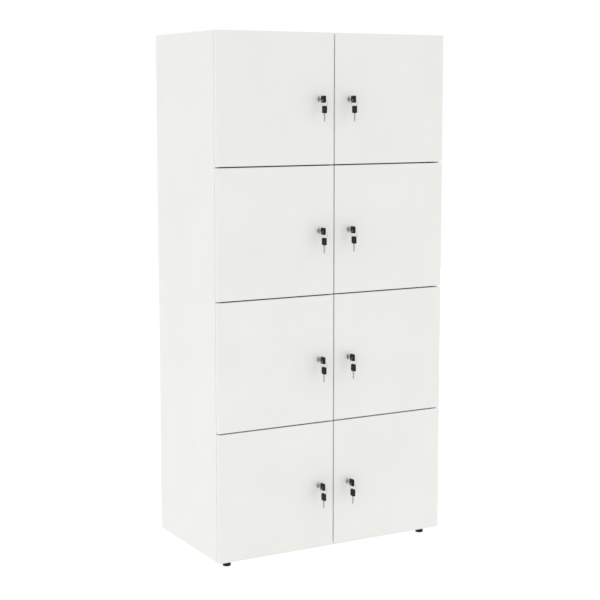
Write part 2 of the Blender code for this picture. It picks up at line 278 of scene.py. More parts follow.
def tube(bm, path, radius, sides=10):
    """Round wire along a path of points, with flat ends."""
    rings = []
    for index, point in enumerate(path):
        ahead = path[min(index + 1, len(path) - 1)]
        behind = path[max(index - 1, 0)]
        axis = (ahead - behind).normalized()
        first = INWARD.cross(axis).normalized() if abs(axis.y) < 0.9 else UP
        second = axis.cross(first).normalized()
        rings.append([point + first * x + second * y for x, y in circle(radius, sides)])
    return loft(bm, rings)


def cross_recess(radius, arm, count):
    """Four-lobed outline of a cross-head recess."""
    points = []
    for step in range(count):
        angle = 2 * math.pi * (step + 0.5) / count
        reach = radius + arm * math.cos(4 * angle)
        points.append((reach * math.cos(angle), reach * math.sin(angle)))
    return points


def screw_head(bm, origin, axis, radius, height, count=32):
    """Pan head with a cross recess; the axis points out of the surface it sits on."""
    crown = arc((radius - height * 0.7, height * 0.3), height * 0.7, 0, 80, 4)
    rings = [ring_at(circle(radius, count), origin, axis, 0.0)]
    rings += [ring_at(circle(r, count), origin, axis, h) for r, h in crown]
    recess = (0.36 * radius, 0.17 * radius)
    rings.append(ring_at(cross_recess(*recess, count), origin, axis, height))
    rings.append(ring_at(cross_recess(0.8 * recess[0], 0.8 * recess[1], count), origin, axis,
                         0.35 * height))
    return loft(bm, rings)


def hex_nut(bm, origin, axis, apothem, hole, start, end, count=48):
    """Nut with chamfered corners between two heights along the axis."""
    chamfer = 0.06 * apothem
    rings = [ring_at(circle(hole, count), origin, axis, start),
             ring_at(hexagon(apothem, count, 0.25), origin, axis, start),
             ring_at(hexagon(apothem, count), origin, axis, start + chamfer),
             ring_at(hexagon(apothem, count), origin, axis, end - chamfer),
             ring_at(hexagon(apothem, count, 0.25), origin, axis, end),
             ring_at(circle(hole, count), origin, axis, end)]
    return loft(bm, rings, closed=True)


def threads(radius, start, end):
    """Profile of a threaded length, as ridges a pitch apart."""
    points = []
    count = round((end - start) / THREAD_PITCH)
    for turn_index in range(count):
        at = start + turn_index * THREAD_PITCH
        points.append((radius - THREAD_DEPTH, at))
        points.append((radius, at + 0.4 * THREAD_PITCH))
        points.append((radius, at + 0.6 * THREAD_PITCH))
    points.append((radius - THREAD_DEPTH, start + count * THREAD_PITCH))
    return points


def washer(hole, radius, start, end):
    """Profile of a flat washer between two heights."""
    return [(hole, start), (radius, start), (radius, end), (hole, end)]


# ---- materials -------------------------------------------------------------------------

MIX_COLOR_A, MIX_COLOR_B, MIX_COLOR_RESULT = 6, 7, 2     # the Mix node's colour sockets
PATTERN_RANGE = (0.3, 0.7)      # values that a noise pattern mostly keeps between


class Finish:
    """A Principled material with helpers for its procedural detail."""

    def __init__(self, name, color, roughness, metallic=0.0):
        self.material = bpy.data.materials.new(name)
        self.material.use_nodes = True
        self.tree = self.material.node_tree
        self.shader = self.tree.nodes["Principled BSDF"]
        self.shader.inputs["Base Color"].default_value = (*color, 1.0)
        self.shader.inputs["Roughness"].default_value = roughness
        self.shader.inputs["Metallic"].default_value = metallic
        self.coordinates = self.tree.nodes.new("ShaderNodeTexCoord").outputs["Object"]
        self.normal = None

    def link(self, output, target):
        self.tree.links.new(output, target)

    def stretched(self, scale):
        """Coordinates scaled by axis, for brushed or drawn surfaces."""
        mapping = self.tree.nodes.new("ShaderNodeMapping")
        mapping.inputs["Scale"].default_value = scale
        self.link(self.coordinates, mapping.inputs["Vector"])
        return mapping.outputs["Vector"]

    def noise(self, scale, detail=2.0, roughness=0.5, coordinates=None):
        node = self.tree.nodes.new("ShaderNodeTexNoise")
        node.inputs["Scale"].default_value = scale
        node.inputs["Detail"].default_value = detail
        node.inputs["Roughness"].default_value = roughness
        self.link(coordinates or self.coordinates, node.inputs["Vector"])
        return node.outputs["Fac"]

    def cells(self, scale):
        node = self.tree.nodes.new("ShaderNodeTexVoronoi")
        node.inputs["Scale"].default_value = scale
        self.link(self.coordinates, node.inputs["Vector"])
        return node.outputs["Distance"]

    def spread(self, value, low, high):
        """Map a pattern's range onto low to high."""
        node = self.tree.nodes.new("ShaderNodeMapRange")
        start, end = PATTERN_RANGE
        for name, number in (("From Min", start), ("From Max", end),
                             ("To Min", low), ("To Max", high)):
            node.inputs[name].default_value = number
        self.link(value, node.inputs["Value"])
        return node.outputs["Result"]

    def color_from(self, value, first, second):
        """Base colour between two colours by a pattern."""
        mix = self.tree.nodes.new("ShaderNodeMix")
        mix.data_type = "RGBA"
        self.link(self.spread(value, 0.0, 1.0), mix.inputs["Factor"])
        mix.inputs[MIX_COLOR_A].default_value = (*first, 1.0)
        mix.inputs[MIX_COLOR_B].default_value = (*second, 1.0)
        self.link(mix.outputs[MIX_COLOR_RESULT], self.shader.inputs["Base Color"])
        return self

    def roughness_from(self, value, low, high):
        self.link(self.spread(value, low, high), self.shader.inputs["Roughness"])
        return self

    def bump(self, value, depth, strength=1.0):
        """Relief of a real depth in metres; a second bump adds to the first."""
        node = self.tree.nodes.new("ShaderNodeBump")
        node.inputs["Distance"].default_value = depth
        node.inputs["Strength"].default_value = strength
        self.link(value, node.inputs["Height"])
        if self.normal:
            self.link(self.normal, node.inputs["Normal"])
        self.normal = node.outputs["Normal"]
        self.link(self.normal, self.shader.inputs["Normal"])
        return self


def melamine():
    """Pearl-embossed white melamine face of a board."""
    finish = Finish("white_melamine", (0.79, 0.79, 0.765), 0.42)
    finish.color_from(finish.noise(5.0, 3.0), (0.768, 0.775, 0.746), (0.791, 0.797, 0.769))
    finish.roughness_from(finish.noise(60.0, 3.0), 0.36, 0.47)
    finish.bump(finish.noise(9.0, 1.0), 0.00025, 0.5)
    finish.bump(finish.cells(1100.0), 0.00003, 0.5)
    return finish.material


def edge_band():
    """White plastic edge strip, smoother and a touch cooler than the faces."""
    finish = Finish("white_edge_band", (0.78, 0.785, 0.77), 0.33)
    finish.color_from(finish.noise(9.0), (0.768, 0.775, 0.757), (0.790, 0.797, 0.781))
    finish.roughness_from(finish.noise(90.0), 0.28, 0.38)
    finish.bump(finish.noise(700.0), 0.00002, 0.4)
    return finish.material


def chipboard():
    """Raw chipboard on bored and milled faces."""
    finish = Finish("raw_chipboard", (0.5, 0.38, 0.24), 0.9)
    finish.color_from(finish.noise(420.0, 4.0, 0.7), (0.30, 0.20, 0.11), (0.66, 0.52, 0.35))
    finish.roughness_from(finish.noise(300.0), 0.82, 0.96)
    finish.bump(finish.cells(650.0), 0.0003, 0.8)
    return finish.material


def black_plastic():
    """Moulded black plastic with a fine spark-eroded grain."""
    finish = Finish("black_plastic", (0.006, 0.006, 0.0065), 0.42)
    finish.shader.inputs["Specular IOR Level"].default_value = 0.2
    finish.color_from(finish.noise(120.0), (0.003, 0.003, 0.0033), (0.006, 0.006, 0.0064))
    finish.roughness_from(finish.noise(900.0), 0.36, 0.50)
    finish.bump(finish.noise(2600.0, 2.0), 0.00005, 0.6)
    return finish.material


def chrome():
    """Satin chrome plating over a cast shell, with faint handling haze."""
    finish = Finish("chrome", (0.66, 0.66, 0.67), 0.24, 1.0)
    finish.roughness_from(finish.noise(160.0, 3.0), 0.19, 0.30)
    finish.color_from(finish.noise(80.0), (0.62, 0.62, 0.63), (0.70, 0.70, 0.71))
    finish.bump(finish.noise(420.0), 0.00001, 0.5)
    return finish.material


def nickel():
    """Satin nickel with drawn marks along the blade."""
    finish = Finish("satin_nickel", (0.50, 0.49, 0.465), 0.3, 1.0)
    drawn = finish.noise(900.0, 3.0, coordinates=finish.stretched((1.0, 0.06, 1.0)))
    finish.color_from(drawn, (0.45, 0.445, 0.42), (0.56, 0.55, 0.525))
    finish.roughness_from(drawn, 0.24, 0.38)
    finish.bump(drawn, 0.00002, 0.5)
    return finish.material


def zinc():
    """Zinc-plated pressed steel with a mottled, slightly blue passivation."""
    finish = Finish("zinc_plate", (0.60, 0.62, 0.65), 0.34, 1.0)
    mottle = finish.noise(140.0, 4.0, 0.6)
    finish.color_from(mottle, (0.56, 0.58, 0.62), (0.68, 0.685, 0.68))
    finish.roughness_from(finish.noise(260.0), 0.27, 0.42)
    finish.bump(finish.noise(800.0), 0.00002, 0.5)
    return finish.material


def clear_rubber():
    """Milky soft bumper."""
    finish = Finish("clear_bumper", (0.78, 0.80, 0.80), 0.35)
    finish.color_from(finish.noise(500.0), (0.74, 0.76, 0.76), (0.82, 0.84, 0.84))
    finish.roughness_from(finish.noise(700.0), 0.28, 0.44)
    finish.bump(finish.noise(900.0), 0.00002, 0.4)
    return finish.material


MELAMINE, EDGE_BAND, CHIPBOARD = melamine(), edge_band(), chipboard()
BLACK, CHROME, NICKEL, ZINC = black_plastic(), chrome(), nickel(), zinc()
RUBBER = clear_rubber()


# ---- boards ----------------------------------------------------------------------------

class Board:
    """A CAD board's box, with outlines drawn on its face and heights through it."""

    def __init__(self, node):
        low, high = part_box(node)
        size = high - low
        order = sorted(range(3), key=lambda axis: -size[axis])
        self.centre = (low + high) / 2
        self.length, self.width, self.thickness = (size[axis] for axis in order)
        self.axes = [Vector([float(axis == other) for other in range(3)]) for axis in order]

    def ring(self, inset, height):
        """Outline of the board, drawn in by inset, at a height from its middle plane."""
        along, across, through = self.axes
        outline = rounded_rect(self.length - 2 * inset, self.width - 2 * inset,
                               BAND_CORNER - inset, 4)
        return [self.centre + along * x + across * y + through * height for x, y in outline]


def slab_mesh(name, board):
    """The board without its banding, with a tiny chamfer that shows as the seam."""
    half = board.thickness / 2
    bm = bmesh.new()
    loft(bm, [board.ring(BAND + SEAM_CHAMFER, -half), board.ring(BAND, SEAM_CHAMFER - half),
              board.ring(BAND, half - SEAM_CHAMFER), board.ring(BAND + SEAM_CHAMFER, half)])
    return mesh_of(name, bm, MELAMINE)


def band_mesh(name, board):
    """Edge banding round the whole board, with rounded outer edges."""
    half = board.thickness / 2
    inner = BAND - BAND_SEAM
    round_over = arc((0.0, 0.0), BAND_EDGE, 90, 0, 3)
    upper = [(BAND_EDGE - x, half - BAND_EDGE + y) for x, y in round_over]
    lower = [(inset, -height) for inset, height in reversed(upper)]
    section = [(inner, half), *upper, *lower, (inner, -half)]
    bm = bmesh.new()
    loft(bm, [board.ring(inset, height) for inset, height in section], closed=True)
    return mesh_of(name, bm, EDGE_BAND)


def helper(name, bm):
    """A solid that is only there to cut with."""
    obj = bpy.data.objects.new(name, mesh_of(name, bm, CHIPBOARD))
    bpy.context.scene.collection.objects.link(obj)
    return obj


def bore(name, radius, start, end, count=64):
    """Round cutter between two points."""
    bm = bmesh.new()
    axis = (end - start).normalized()
    turn(bm, [(radius, 0.0), (radius, (end - start).length)], start, axis, count)
    return helper(name, bm)


def box_cutter(name, low, high):
    """Cutter along X between two corners, with round edges."""
    bm = bmesh.new()
    outline = rounded_rect(high.y - low.y, high.z - low.z, 0.0015, 4,
                           ((low.y + high.y) / 2, (low.z + high.z) / 2))
    loft(bm, [[Vector((x, y, z)) for y, z in outline] for x in (low.x, high.x)])
    return helper(name, bm)


def cut(mesh, cutters):
    """Cut a mesh with helper solids, whose raw chipboard shows on the cut faces."""
    obj = bpy.data.objects.new("cut", mesh)
    bpy.context.scene.collection.objects.link(obj)
    for cutter in cutters:
        boolean = obj.modifiers.new(cutter.name, "BOOLEAN")
        boolean.operation = "DIFFERENCE"
        boolean.solver = "EXACT"
        boolean.material_mode = "TRANSFER"
        boolean.object = cutter
    graph = bpy.context.evaluated_depsgraph_get()
    result = bpy.data.meshes.new_from_object(obj.evaluated_get(graph))
    for unused in (obj, *cutters):
        bpy.data.objects.remove(unused, do_unlink=True)
    return smooth_mesh(result)


def build_board(node, body, cutters=()):
    """Stand a core and its edge banding in for a CAD board."""
    board = Board(node)
    slab = slab_mesh(f"{node}_core", board)
    if cutters:
        slab = cut(slab, cutters)
    new_piece(f"{node}_core", slab, body, [node])
    new_piece(f"{node}_edge_band", band_mesh(f"{node}_edge_band", board), body,
              [node])


def mortise_cutter(row):
    axis_z = JOINT_AT[f"key_turn_left_{row}"].z
    low = Vector((-2 * PARTITION_X, DOOR_FRONT_Y + MORTISE_FRONT, axis_z - MORTISE_BELOW))
    high = Vector((2 * PARTITION_X, DOOR_FRONT_Y + MORTISE_BACK, axis_z + MORTISE_ABOVE))
    return box_cutter(f"mortise_{row}", low, high)


def socket_cutter(corner):
    low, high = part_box(f"foot_socket_{corner}")
    centre = (low + high) / 2
    return bore(f"socket_hole_{corner}", SOCKET_HOLE_RADIUS,
                Vector((centre.x, centre.y, BASE_Z - CUTTER_MARGIN)),
                Vector((centre.x, centre.y, BASE_Z + SOCKET_HOLE_DEPTH)), 32)


def build_cabinet():
    for node in ("side_panel_left", "side_panel_right", "top_panel", "back_panel"):
        build_board(node, "cabinet")
    for side in SIDES:
        for level in ROWS[:-1]:
            build_board(f"shelf_{side}_{level}", "cabinet")
    build_board("partition", "cabinet", [mortise_cutter(row) for row in ROWS])
    build_board("bottom_panel", "cabinet", [socket_cutter(corner) for corner in FOOT_CORNERS])
    build_back_screws()
    build_connector_covers()


def build_back_screws():
    """Screws that hold the back panel to the shelves, the partition and the ends."""
    levels = [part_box(f"shelf_left_{level}") for level in ROWS[:-1]]
    heights = [(low.z + high.z) / 2 for low, high in levels]
    heights += [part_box(panel)[0].z + BACK_SCREW_INSET for panel in ("top_panel", "bottom_panel")]
    head = (BACK_SCREW_RADIUS, BACK_SCREW_HEIGHT)
    bm = bmesh.new()
    for height in heights:
        for x in BACK_SCREW_X:
            screw_head(bm, Vector((x, BACK_Y, height)), INWARD, *head)
    for row in ROWS:
        middle = JOINT_AT[f"key_turn_left_{row}"].z
        for offset in BACK_SCREW_SPREAD:
            screw_head(bm, Vector((0.0, BACK_Y, middle + offset)), INWARD, *head)
    new_piece("back_panel_screws", mesh_of("back_panel_screws", bm, ZINC), "cabinet")


def build_connector_covers():
    """White caps over the shelf connectors, on the undersides."""
    bm = bmesh.new()
    profile = [(0.0085, 0.0), (0.0085, -0.0004), (0.0079, -0.0009), (0.0035, -0.0012)]
    for side in SIDES:
        for level in ROWS[:-1]:
            low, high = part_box(f"shelf_{side}_{level}")
            for x in (low.x + COVER_INSET_X, high.x - COVER_INSET_X):
                for y in (low.y + COVER_FRONT, high.y - COVER_REAR):
                    turn(bm, profile, Vector((x, y, low.z)), UP, 32)
    new_piece("connector_covers", mesh_of("connector_covers", bm, EDGE_BAND), "cabinet")


# ---- doors and their bumpers -----------------------------------------------------------

def cup_heights(side, row):
    low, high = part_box(f"door_{side}_{row}")
    return {"lower": low.z + CUP_END_INSET, "upper": high.z - CUP_END_INSET}


def build_door(side, sign, row):
    tag = f"{side}_{row}"
    axis = JOINT_AT[f"key_turn_{tag}"]
    cutters = [bore(f"lock_bore_{tag}", BORE_RADIUS, axis - INWARD * CUTTER_MARGIN,
                    axis + INWARD * 2 * DOOR_THICKNESS)]
    cup_x = sign * (HALF_WIDTH - CUP_INSET)
    for end, z in cup_heights(side, row).items():
        cutters.append(bore(f"cup_recess_{tag}_{end}", CUP_BORE_RADIUS,
                            Vector((cup_x, DOOR_REAR_Y - CUP_BORE_DEPTH, z)),
                            Vector((cup_x, DOOR_REAR_Y + CUTTER_MARGIN, z))))
    build_board(f"door_{tag}", f"door_{tag}", cutters)


def build_bumpers(side, sign, row):
    """Two soft dots that hold the door off the partition's front edge."""
    low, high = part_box(f"door_{side}_{row}")
    profile = [(0.0032, 0.0), (0.0032, 0.0005), (0.0026, 0.0013), (0.0014, 0.0018)]
    bm = bmesh.new()
    for z in (low.z + BUMPER_INSET, high.z - BUMPER_INSET):
        turn(bm, profile, Vector((sign * BUMPER_X, DOOR_REAR_Y, z)), INWARD, 32)
    name = f"door_bumpers_{side}_{row}"
    new_piece(name, mesh_of(name, bm, RUBBER), f"door_{side}_{row}")


# ---- locks and keys --------------------------------------------------------------------
# The shell, the plug and the cam are drawn with the lock's axis along Y through the origin
# and the door's front face at y = 0.

def lock_shell_mesh():
    """Chromed bezel and threaded barrel, with the nut that clamps it to the door."""
    bore_radius = PLUG_RADIUS + 0.0003
    nose = BEZEL_RADIUS - 0.0018
    profile = [(bore_radius, -BEZEL_HEIGHT + 0.0003), (bore_radius + 0.0003, -BEZEL_HEIGHT),
               (nose - 0.0003, -BEZEL_HEIGHT)]
    profile += arc((nose - 0.0003, -BEZEL_HEIGHT + 0.0016), 0.0016, -90, 0, 5)
    profile += [(BEZEL_RADIUS - 0.0004, -0.0016), (BEZEL_RADIUS, -0.0013),
                (BEZEL_RADIUS, -0.0004), (BEZEL_RADIUS - 0.0002, -0.0002),
                (BARREL_RADIUS, -0.0002), (BARREL_RADIUS, 0.003)]
    profile += threads(BARREL_RADIUS, 0.0035, BARREL_END - 0.001)
    profile += [(BARREL_RADIUS - 0.0007, BARREL_END), (bore_radius, BARREL_END)]
    bm = bmesh.new()
    turn(bm, profile, ORIGIN, INWARD, 64, closed=True)
    hole = BARREL_RADIUS + 0.0001
    turn(bm, washer(hole, 0.0122, DOOR_THICKNESS, DOOR_THICKNESS + 0.0008), ORIGIN, INWARD, 48,
         closed=True)
    hex_nut(bm, ORIGIN, INWARD, 0.0115, hole, DOOR_THICKNESS + 0.0009, DOOR_THICKNESS + 0.0052)
    return mesh_of("lock_shell", bm, CHROME)


def blade_rings(start, end, tip):
    """Sections of a key blade along +Y; it is milled on both sides and cut on its upper
    edge. tip is the length of the pointed end, or 0 for a blade that ends in the plug."""
    half = BLADE_THICKNESS / 2
    top = BLADE_WIDTH / 2
    groove = 0.0005
    cut_start = start + KEY_CUT_START
    stations = [(start, 0.0), (cut_start - 0.0006, 0.0)]
    if tip:
        for index, depth in enumerate(KEY_CUTS):
            middle = cut_start + (index + 0.5) * KEY_CUT_PITCH
            stations += [(middle - 0.0004, depth), (middle + 0.0004, depth)]
        stations.append((end - tip, 0.0005))
    rings = []
    for y, depth in [*stations, (end, TIP_TRIM if tip else 0.0)]:
        low = -top + (TIP_TRIM if tip and y == end else 0.0)
        high = top - depth
        section = [(half, low + 0.0003), (half, -0.0022), (half - groove, -0.0018),
                   (half - groove, -0.0004), (half, 0.0), (half, high - 0.0003),
                   (half - 0.0003, high), (-half + 0.0003, high), (-half, high - 0.0003),
                   (-half, 0.0014), (-half + groove, 0.0010), (-half + groove, -0.0008),
                   (-half, -0.0012), (-half, low + 0.0003), (-half + 0.0003, low),
                   (half - 0.0003, low)]
        rings.append([Vector((x, y, min(max(z, low), high))) for x, z in section])
    return rings


def plug_mesh():
    """Plug face with its keyway, the shank of the key in it, and the threaded tail."""
    bm = bmesh.new()
    count = 56
    keyway = superellipse(BLADE_THICKNESS / 2 + 0.00045, BLADE_WIDTH / 2 + 0.0004, 9, count)
    rim = PLUG_RADIUS - 0.0004
    rings = [(circle(PLUG_RADIUS, count), BARREL_END),
             (circle(PLUG_RADIUS, count), PLUG_FACE + 0.0004),
             (circle(rim, count), PLUG_FACE), (keyway, PLUG_FACE), (keyway, PLUG_FACE + 0.003)]
    loft(bm, [[Vector((x, y, z)) for x, z in outline] for outline, y in rings])
    loft(bm, blade_rings(SLOT_FACE + BLADE_START, PLUG_FACE + 0.0029, 0.0))
    square = rounded_rect(TAIL_SQUARE, TAIL_SQUARE, 0.0004, 3)
    loft(bm, [[Vector((x, y, z)) for x, z in square] for y in (BARREL_END - 0.0005, CAM_BACK)])
    tail = threads(0.0034, CAM_BACK, CAM_BACK + 0.006)
    turn(bm, tail + [(0.0026, CAM_BACK + 0.0064)], ORIGIN, INWARD, 32)
    return mesh_of("lock_plug", bm, CHROME)


def bow_mesh(place=LEVEL):
    """Moulded key head in the YZ plane: ring slot at the origin, blade end at +Y."""
    half = BOW_THICKNESS / 2
    edge, rim, dish = 0.0009, 0.0016, 0.0004
    length = BOW_LENGTH - BOW_COLLAR
    middle = (length / 2 - SLOT_TO_END, 0.0)

    def head(inset, x):
        outline = rounded_rect(length - 2 * inset, BOW_WIDTH - 2 * inset,
                               BOW_CORNER - inset, 8, middle)
        return [Vector((x, y, z)) for y, z in outline]

    def slot(grow, x):
        outline = rounded_rect(SLOT_WIDTH + 2 * grow, SLOT_LENGTH + 2 * grow,
                               0.0021 + grow, 8)
        return [Vector((x, y, z)) for y, z in outline]

    round_over = arc((0.0, 0.0), edge, 90, 0, 4)
    outer = [(edge - x, half - edge + y) for x, y in round_over]
    face = [slot(0.0, half - dish - 0.0003), slot(0.0002, half - dish),
            head(rim + 0.0003, half - dish), head(rim, half)]
    face += [head(inset, x) for inset, x in outer]
    mirrored = [[Vector((-p.x, p.y, p.z)) for p in ring] for ring in reversed(face)]
    bm = bmesh.new()
    loft(bm, face + mirrored, closed=True)
    collar = [(0.0052, 0.0105), (0.0046, 0.0095)]
    loft(bm, [[Vector((x, y, z)) for x, z in rounded_rect(width, height, 0.0012, 4)]
              for (width, height), y in zip(collar, (BOW_END - BOW_COLLAR - 0.001, BOW_END))])
    bm.transform(place)
    return mesh_of("key_bow", bm, BLACK)


def cam_mesh():
    """Steel cam hanging from the square of the plug, with its washer and nut."""
    length = CAM_REACH + CAM_WIDTH / 2
    middle = (0.0, (CAM_WIDTH / 2 - CAM_REACH) / 2)
    edge, play = 0.0003, 0.0003

    def rim(inset, y):
        outline = rounded_rect(CAM_WIDTH - 2 * inset, length - 2 * inset, 0.004 - inset, 6,
                               middle)
        return [Vector((x, y, z)) for x, z in outline]

    def hole(y):
        size = TAIL_SQUARE + play
        return [Vector((x, y, z)) for x, z in rounded_rect(size, size, 0.0005, 6)]

    bm = bmesh.new()
    loft(bm, [hole(CAM_FRONT), rim(edge, CAM_FRONT), rim(0.0, CAM_FRONT + edge),
              rim(0.0, CAM_BACK - edge), rim(edge, CAM_BACK), hole(CAM_BACK)], closed=True)
    turn(bm, washer(0.0036, 0.0070, CAM_BACK + 0.0001, CAM_BACK + 0.0011), ORIGIN, INWARD, 40,
         closed=True)
    hex_nut(bm, ORIGIN, INWARD, 0.0055, 0.0035, CAM_BACK + 0.0012, CAM_BACK + 0.0046)
    return mesh_of("lock_cam", bm, ZINC)


def spare_blade_mesh(place):
    """Split ring about its own centre, with the spare key's blade hanging below it."""
    path = []
    for step in range(RING_STEPS + 1):
        share = step / RING_STEPS
        angle = math.radians(60) + 2 * math.pi * RING_TURNS * share
        path.append(Vector((RING_RADIUS * math.cos(angle), RING_TRAVEL * (2 * share - 1),
                            RING_RADIUS * math.sin(angle))))
    bm = bmesh.new()
    loft(bm, blade_rings(BLADE_START, BLADE_END, TIP_LENGTH))
    bm.transform(place)
    tube(bm, path, RING_WIRE)
    return mesh_of("spare_key_blade", bm, NICKEL)


def build_locks():
    shell, plug, cam = lock_shell_mesh(), plug_mesh(), cam_mesh()
    bow = bow_mesh()
    hanging = Matrix.Translation((0, 0, -SPARE_SLOT_DROP)) @ Matrix.Rotation(-math.pi / 2, 4, "X")
    spare_bow, spare_blade = bow_mesh(hanging), spare_blade_mesh(hanging)
    for side, _, row in TAGS:
        tag = f"{side}_{row}"
        axis = JOINT_AT[f"key_turn_{tag}"]
        ring_centre = JOINT_AT[f"spare_hang_{tag}"]
        core, spare = f"lock_core_{tag}", f"spare_key_{tag}"
        new_piece(f"lock_shell_{tag}", shell, f"door_{tag}",
                  [f"lock_housing_{tag}"], axis)
        new_piece(f"lock_plug_{tag}", plug, core, [f"key_and_plug_{tag}"], axis)
        new_piece(f"key_bow_{tag}", bow, core, [f"key_and_plug_{tag}"],
                  axis + INWARD * SLOT_FACE)
        new_piece(f"lock_cam_{tag}", cam, core, [f"cam_{tag}"], axis)
        new_piece(f"ring_and_spare_blade_{tag}", spare_blade, spare,
                  [f"spare_key_{tag}"], ring_centre)
        new_piece(f"spare_key_bow_{tag}", spare_bow, spare,
                  [f"spare_key_{tag}"], ring_centre)


# ---- concealed hinges ------------------------------------------------------------------

def hinge_cup_mesh(sign):
    """Cup, flange and screws: the centre of the cup's rim is the origin, +Y out of the door
    and the hinge edge towards the sign's side."""
    bm = bmesh.new()
    cup = [(0.0166, -0.0116), (0.0172, -0.0110), (0.0172, 0.0002), (0.0186, 0.0002),
           (0.0186, 0.0008), (0.0182, 0.0011), (0.0148, 0.0011), (0.0142, 0.0006),
           (0.0142, -0.0095), (0.0132, -0.0105)]
    turn(bm, cup, ORIGIN, INWARD, 64)
    for end in (-1, 1):
        centre = (-0.005 * sign, 0.0240 * end)
        rings = []
        for inset, y in ((0.0, 0.0001), (0.0, 0.0011), (0.0004, 0.0014)):
            outline = rounded_rect(0.0150 - 2 * inset, 0.0155 - 2 * inset, 0.0045 - inset, 6,
                                   centre)
            rings.append([Vector((x, y, z)) for x, z in outline])
        loft(bm, rings)
        screw_head(bm, Vector((centre[0], 0.0013, centre[1])), INWARD, 0.0038, 0.0014)
    pin = [Vector((CUP_PIN_BACK * sign, -CUP_PIN_DEPTH, z))
           for z in (-0.0132, -0.0132 / 3, 0.0132 / 3, 0.0132)]
    tube(bm, pin, 0.0014, 16)
    return mesh_of("hinge_cup", bm, ZINC)


def hinge_arm_mesh(sign):
    """Mounting plate and arm; the origin is on the side panel's inner face at the cabinet's
    front edge, and the arm stands off the panel towards the middle of the cabinet."""
    bm = bmesh.new()
    away = Vector((-sign, 0, 0))

    def at(off, y, z):
        return away * off + Vector((0, y, z))

    for width, height, low, high, y_mid in ((0.017, 0.047, 0.0, 0.0022, HINGE_TO_FRONT),
                                            (0.040, 0.0155, 0.0, 0.0050, HINGE_TO_FRONT - 0.002)):
        rings = []
        for inset, off in ((0.0, low + 0.0001), (0.0, high - 0.0004), (0.0004, high)):
            outline = rounded_rect(width - 2 * inset, height - 2 * inset, 0.005 - inset, 6,
                                   (y_mid, 0.0))
            rings.append([at(off, y, z) for y, z in outline])
        loft(bm, rings)
    for z in (-0.0160, 0.0160):
        screw_head(bm, at(0.0021, HINGE_TO_FRONT, z), away, 0.0044, 0.0018)
    stations = ((0.061, 0.0055, 0.0100, 0.0068), (0.058, 0.0055, 0.0112, 0.0074),
                (0.030, 0.0055, 0.0125, 0.0076), (0.010, 0.0052, 0.0128, 0.0074),
                (-0.001, 0.0048, 0.0126, 0.0068), (-0.006, 0.0052, 0.0112, 0.0062),
                (-0.0082, 0.0060, 0.0092, 0.0056))
    wall, edge = 0.0012, 0.0007
    rings = []
    for y, low, high, half in stations:
        section = [(low, -half), (high - edge, -half), (high - edge * 0.3, -half + edge * 0.3),
                   (high, -half + edge), (high, half - edge),
                   (high - edge * 0.3, half - edge * 0.3), (high - edge, half), (low, half),
                   (low, half - wall), (high - wall, half - wall),
                   (high - wall, -half + wall), (low, -half + wall)]
        rings.append([at(off, y, z) for off, z in section])
    loft(bm, rings)
    for y, off in ((0.050, 0.0114), (0.024, 0.0124)):
        screw_head(bm, at(off, y, 0.0), away, 0.0034, 0.0014)
    return mesh_of("hinge_arm", bm, ZINC)


def hinge_links_mesh(name, start, end):
    """Two flat links between the arm and the cup, in many short sections along their length."""
    bm = bmesh.new()
    along = (end - start).normalized()
    normal = along.cross(UP).normalized()
    outline = rounded_rect(0.0014, 0.0054, 0.0004, 2)
    for offset in (-LINK_OFFSET, LINK_OFFSET):
        rings = []
        for step in range(LINK_STEPS + 1):
            centre = start.lerp(end, step / LINK_STEPS) + UP * offset
            rings.append([centre + normal * x + UP * z for x, z in outline])
        loft(bm, rings)
    return mesh_of(name, bm, ZINC)


def build_hinges():
    cups = {sign: hinge_cup_mesh(sign) for sign in SIDES.values()}
    arms = {sign: hinge_arm_mesh(sign) for sign in SIDES.values()}
    for side, sign, row in TAGS:
        door = f"door_{side}_{row}"
        cup_x = sign * (HALF_WIDTH - CUP_INSET)
        for end, z in cup_heights(side, row).items():
            tag = f"{side}_{row}_{end}"
            new_piece(f"hinge_cup_{tag}", cups[sign], door,
                      location=(cup_x, DOOR_REAR_Y, z))
            new_piece(f"hinge_arm_{tag}", arms[sign], "cabinet",
                      location=(sign * INNER_X, FRONT_Y, z))
            arm_end = Vector((sign * (INNER_X - LINK_OFF_PANEL), FRONT_Y + LINK_DEPTH, z))
            cup_pin = Vector((cup_x + sign * CUP_PIN_BACK, DOOR_REAR_Y - CUP_PIN_DEPTH, z))
            name = f"hinge_links_{tag}"
            links = bpy.data.objects.new(name, hinge_links_mesh(name, arm_end, cup_pin))
            bpy.context.scene.collection.objects.link(links)
            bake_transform(links)


# ---- levelling feet --------------------------------------------------------------------

def foot_pad_mesh():
    """Black glide with a hexagonal hub; its underside is at z = 0."""
    bm = bmesh.new()
    profile = [(0.0100, 0.0012), (0.0108, 0.0), (0.0118, 0.0)]
    profile += arc((0.0117, 0.0008), 0.0008, -90, 0, 3)
    profile += [(0.0125, 0.0066)] + arc((0.0110, 0.0072), 0.0015, 0, 75, 4)
    profile += [(0.0078, 0.0096), (0.0074, 0.0104), (0.0040, 0.0104)]
    turn(bm, profile, ORIGIN, UP, 48)
    hub = [(hexagon(0.0063, 48), 0.0100), (hexagon(0.0063, 48), 0.0192),
           (hexagon(0.0063, 48, 0.3), 0.0197), (circle(0.0041, 48), 0.0197)]
    loft(bm, [ring_at(outline, ORIGIN, UP, height) for outline, height in hub])
    return mesh_of("foot_pad", bm, BLACK)


def foot_stem_mesh():
    """Threaded stem, from the hub of the pad up into its socket."""
    bm = bmesh.new()
    profile = [(0.0034, 0.0190), *threads(0.0039, 0.0192, 0.0342), (0.0031, 0.0346)]
    turn(bm, profile, ORIGIN, UP, 32)
    return mesh_of("foot_stem", bm, ZINC)


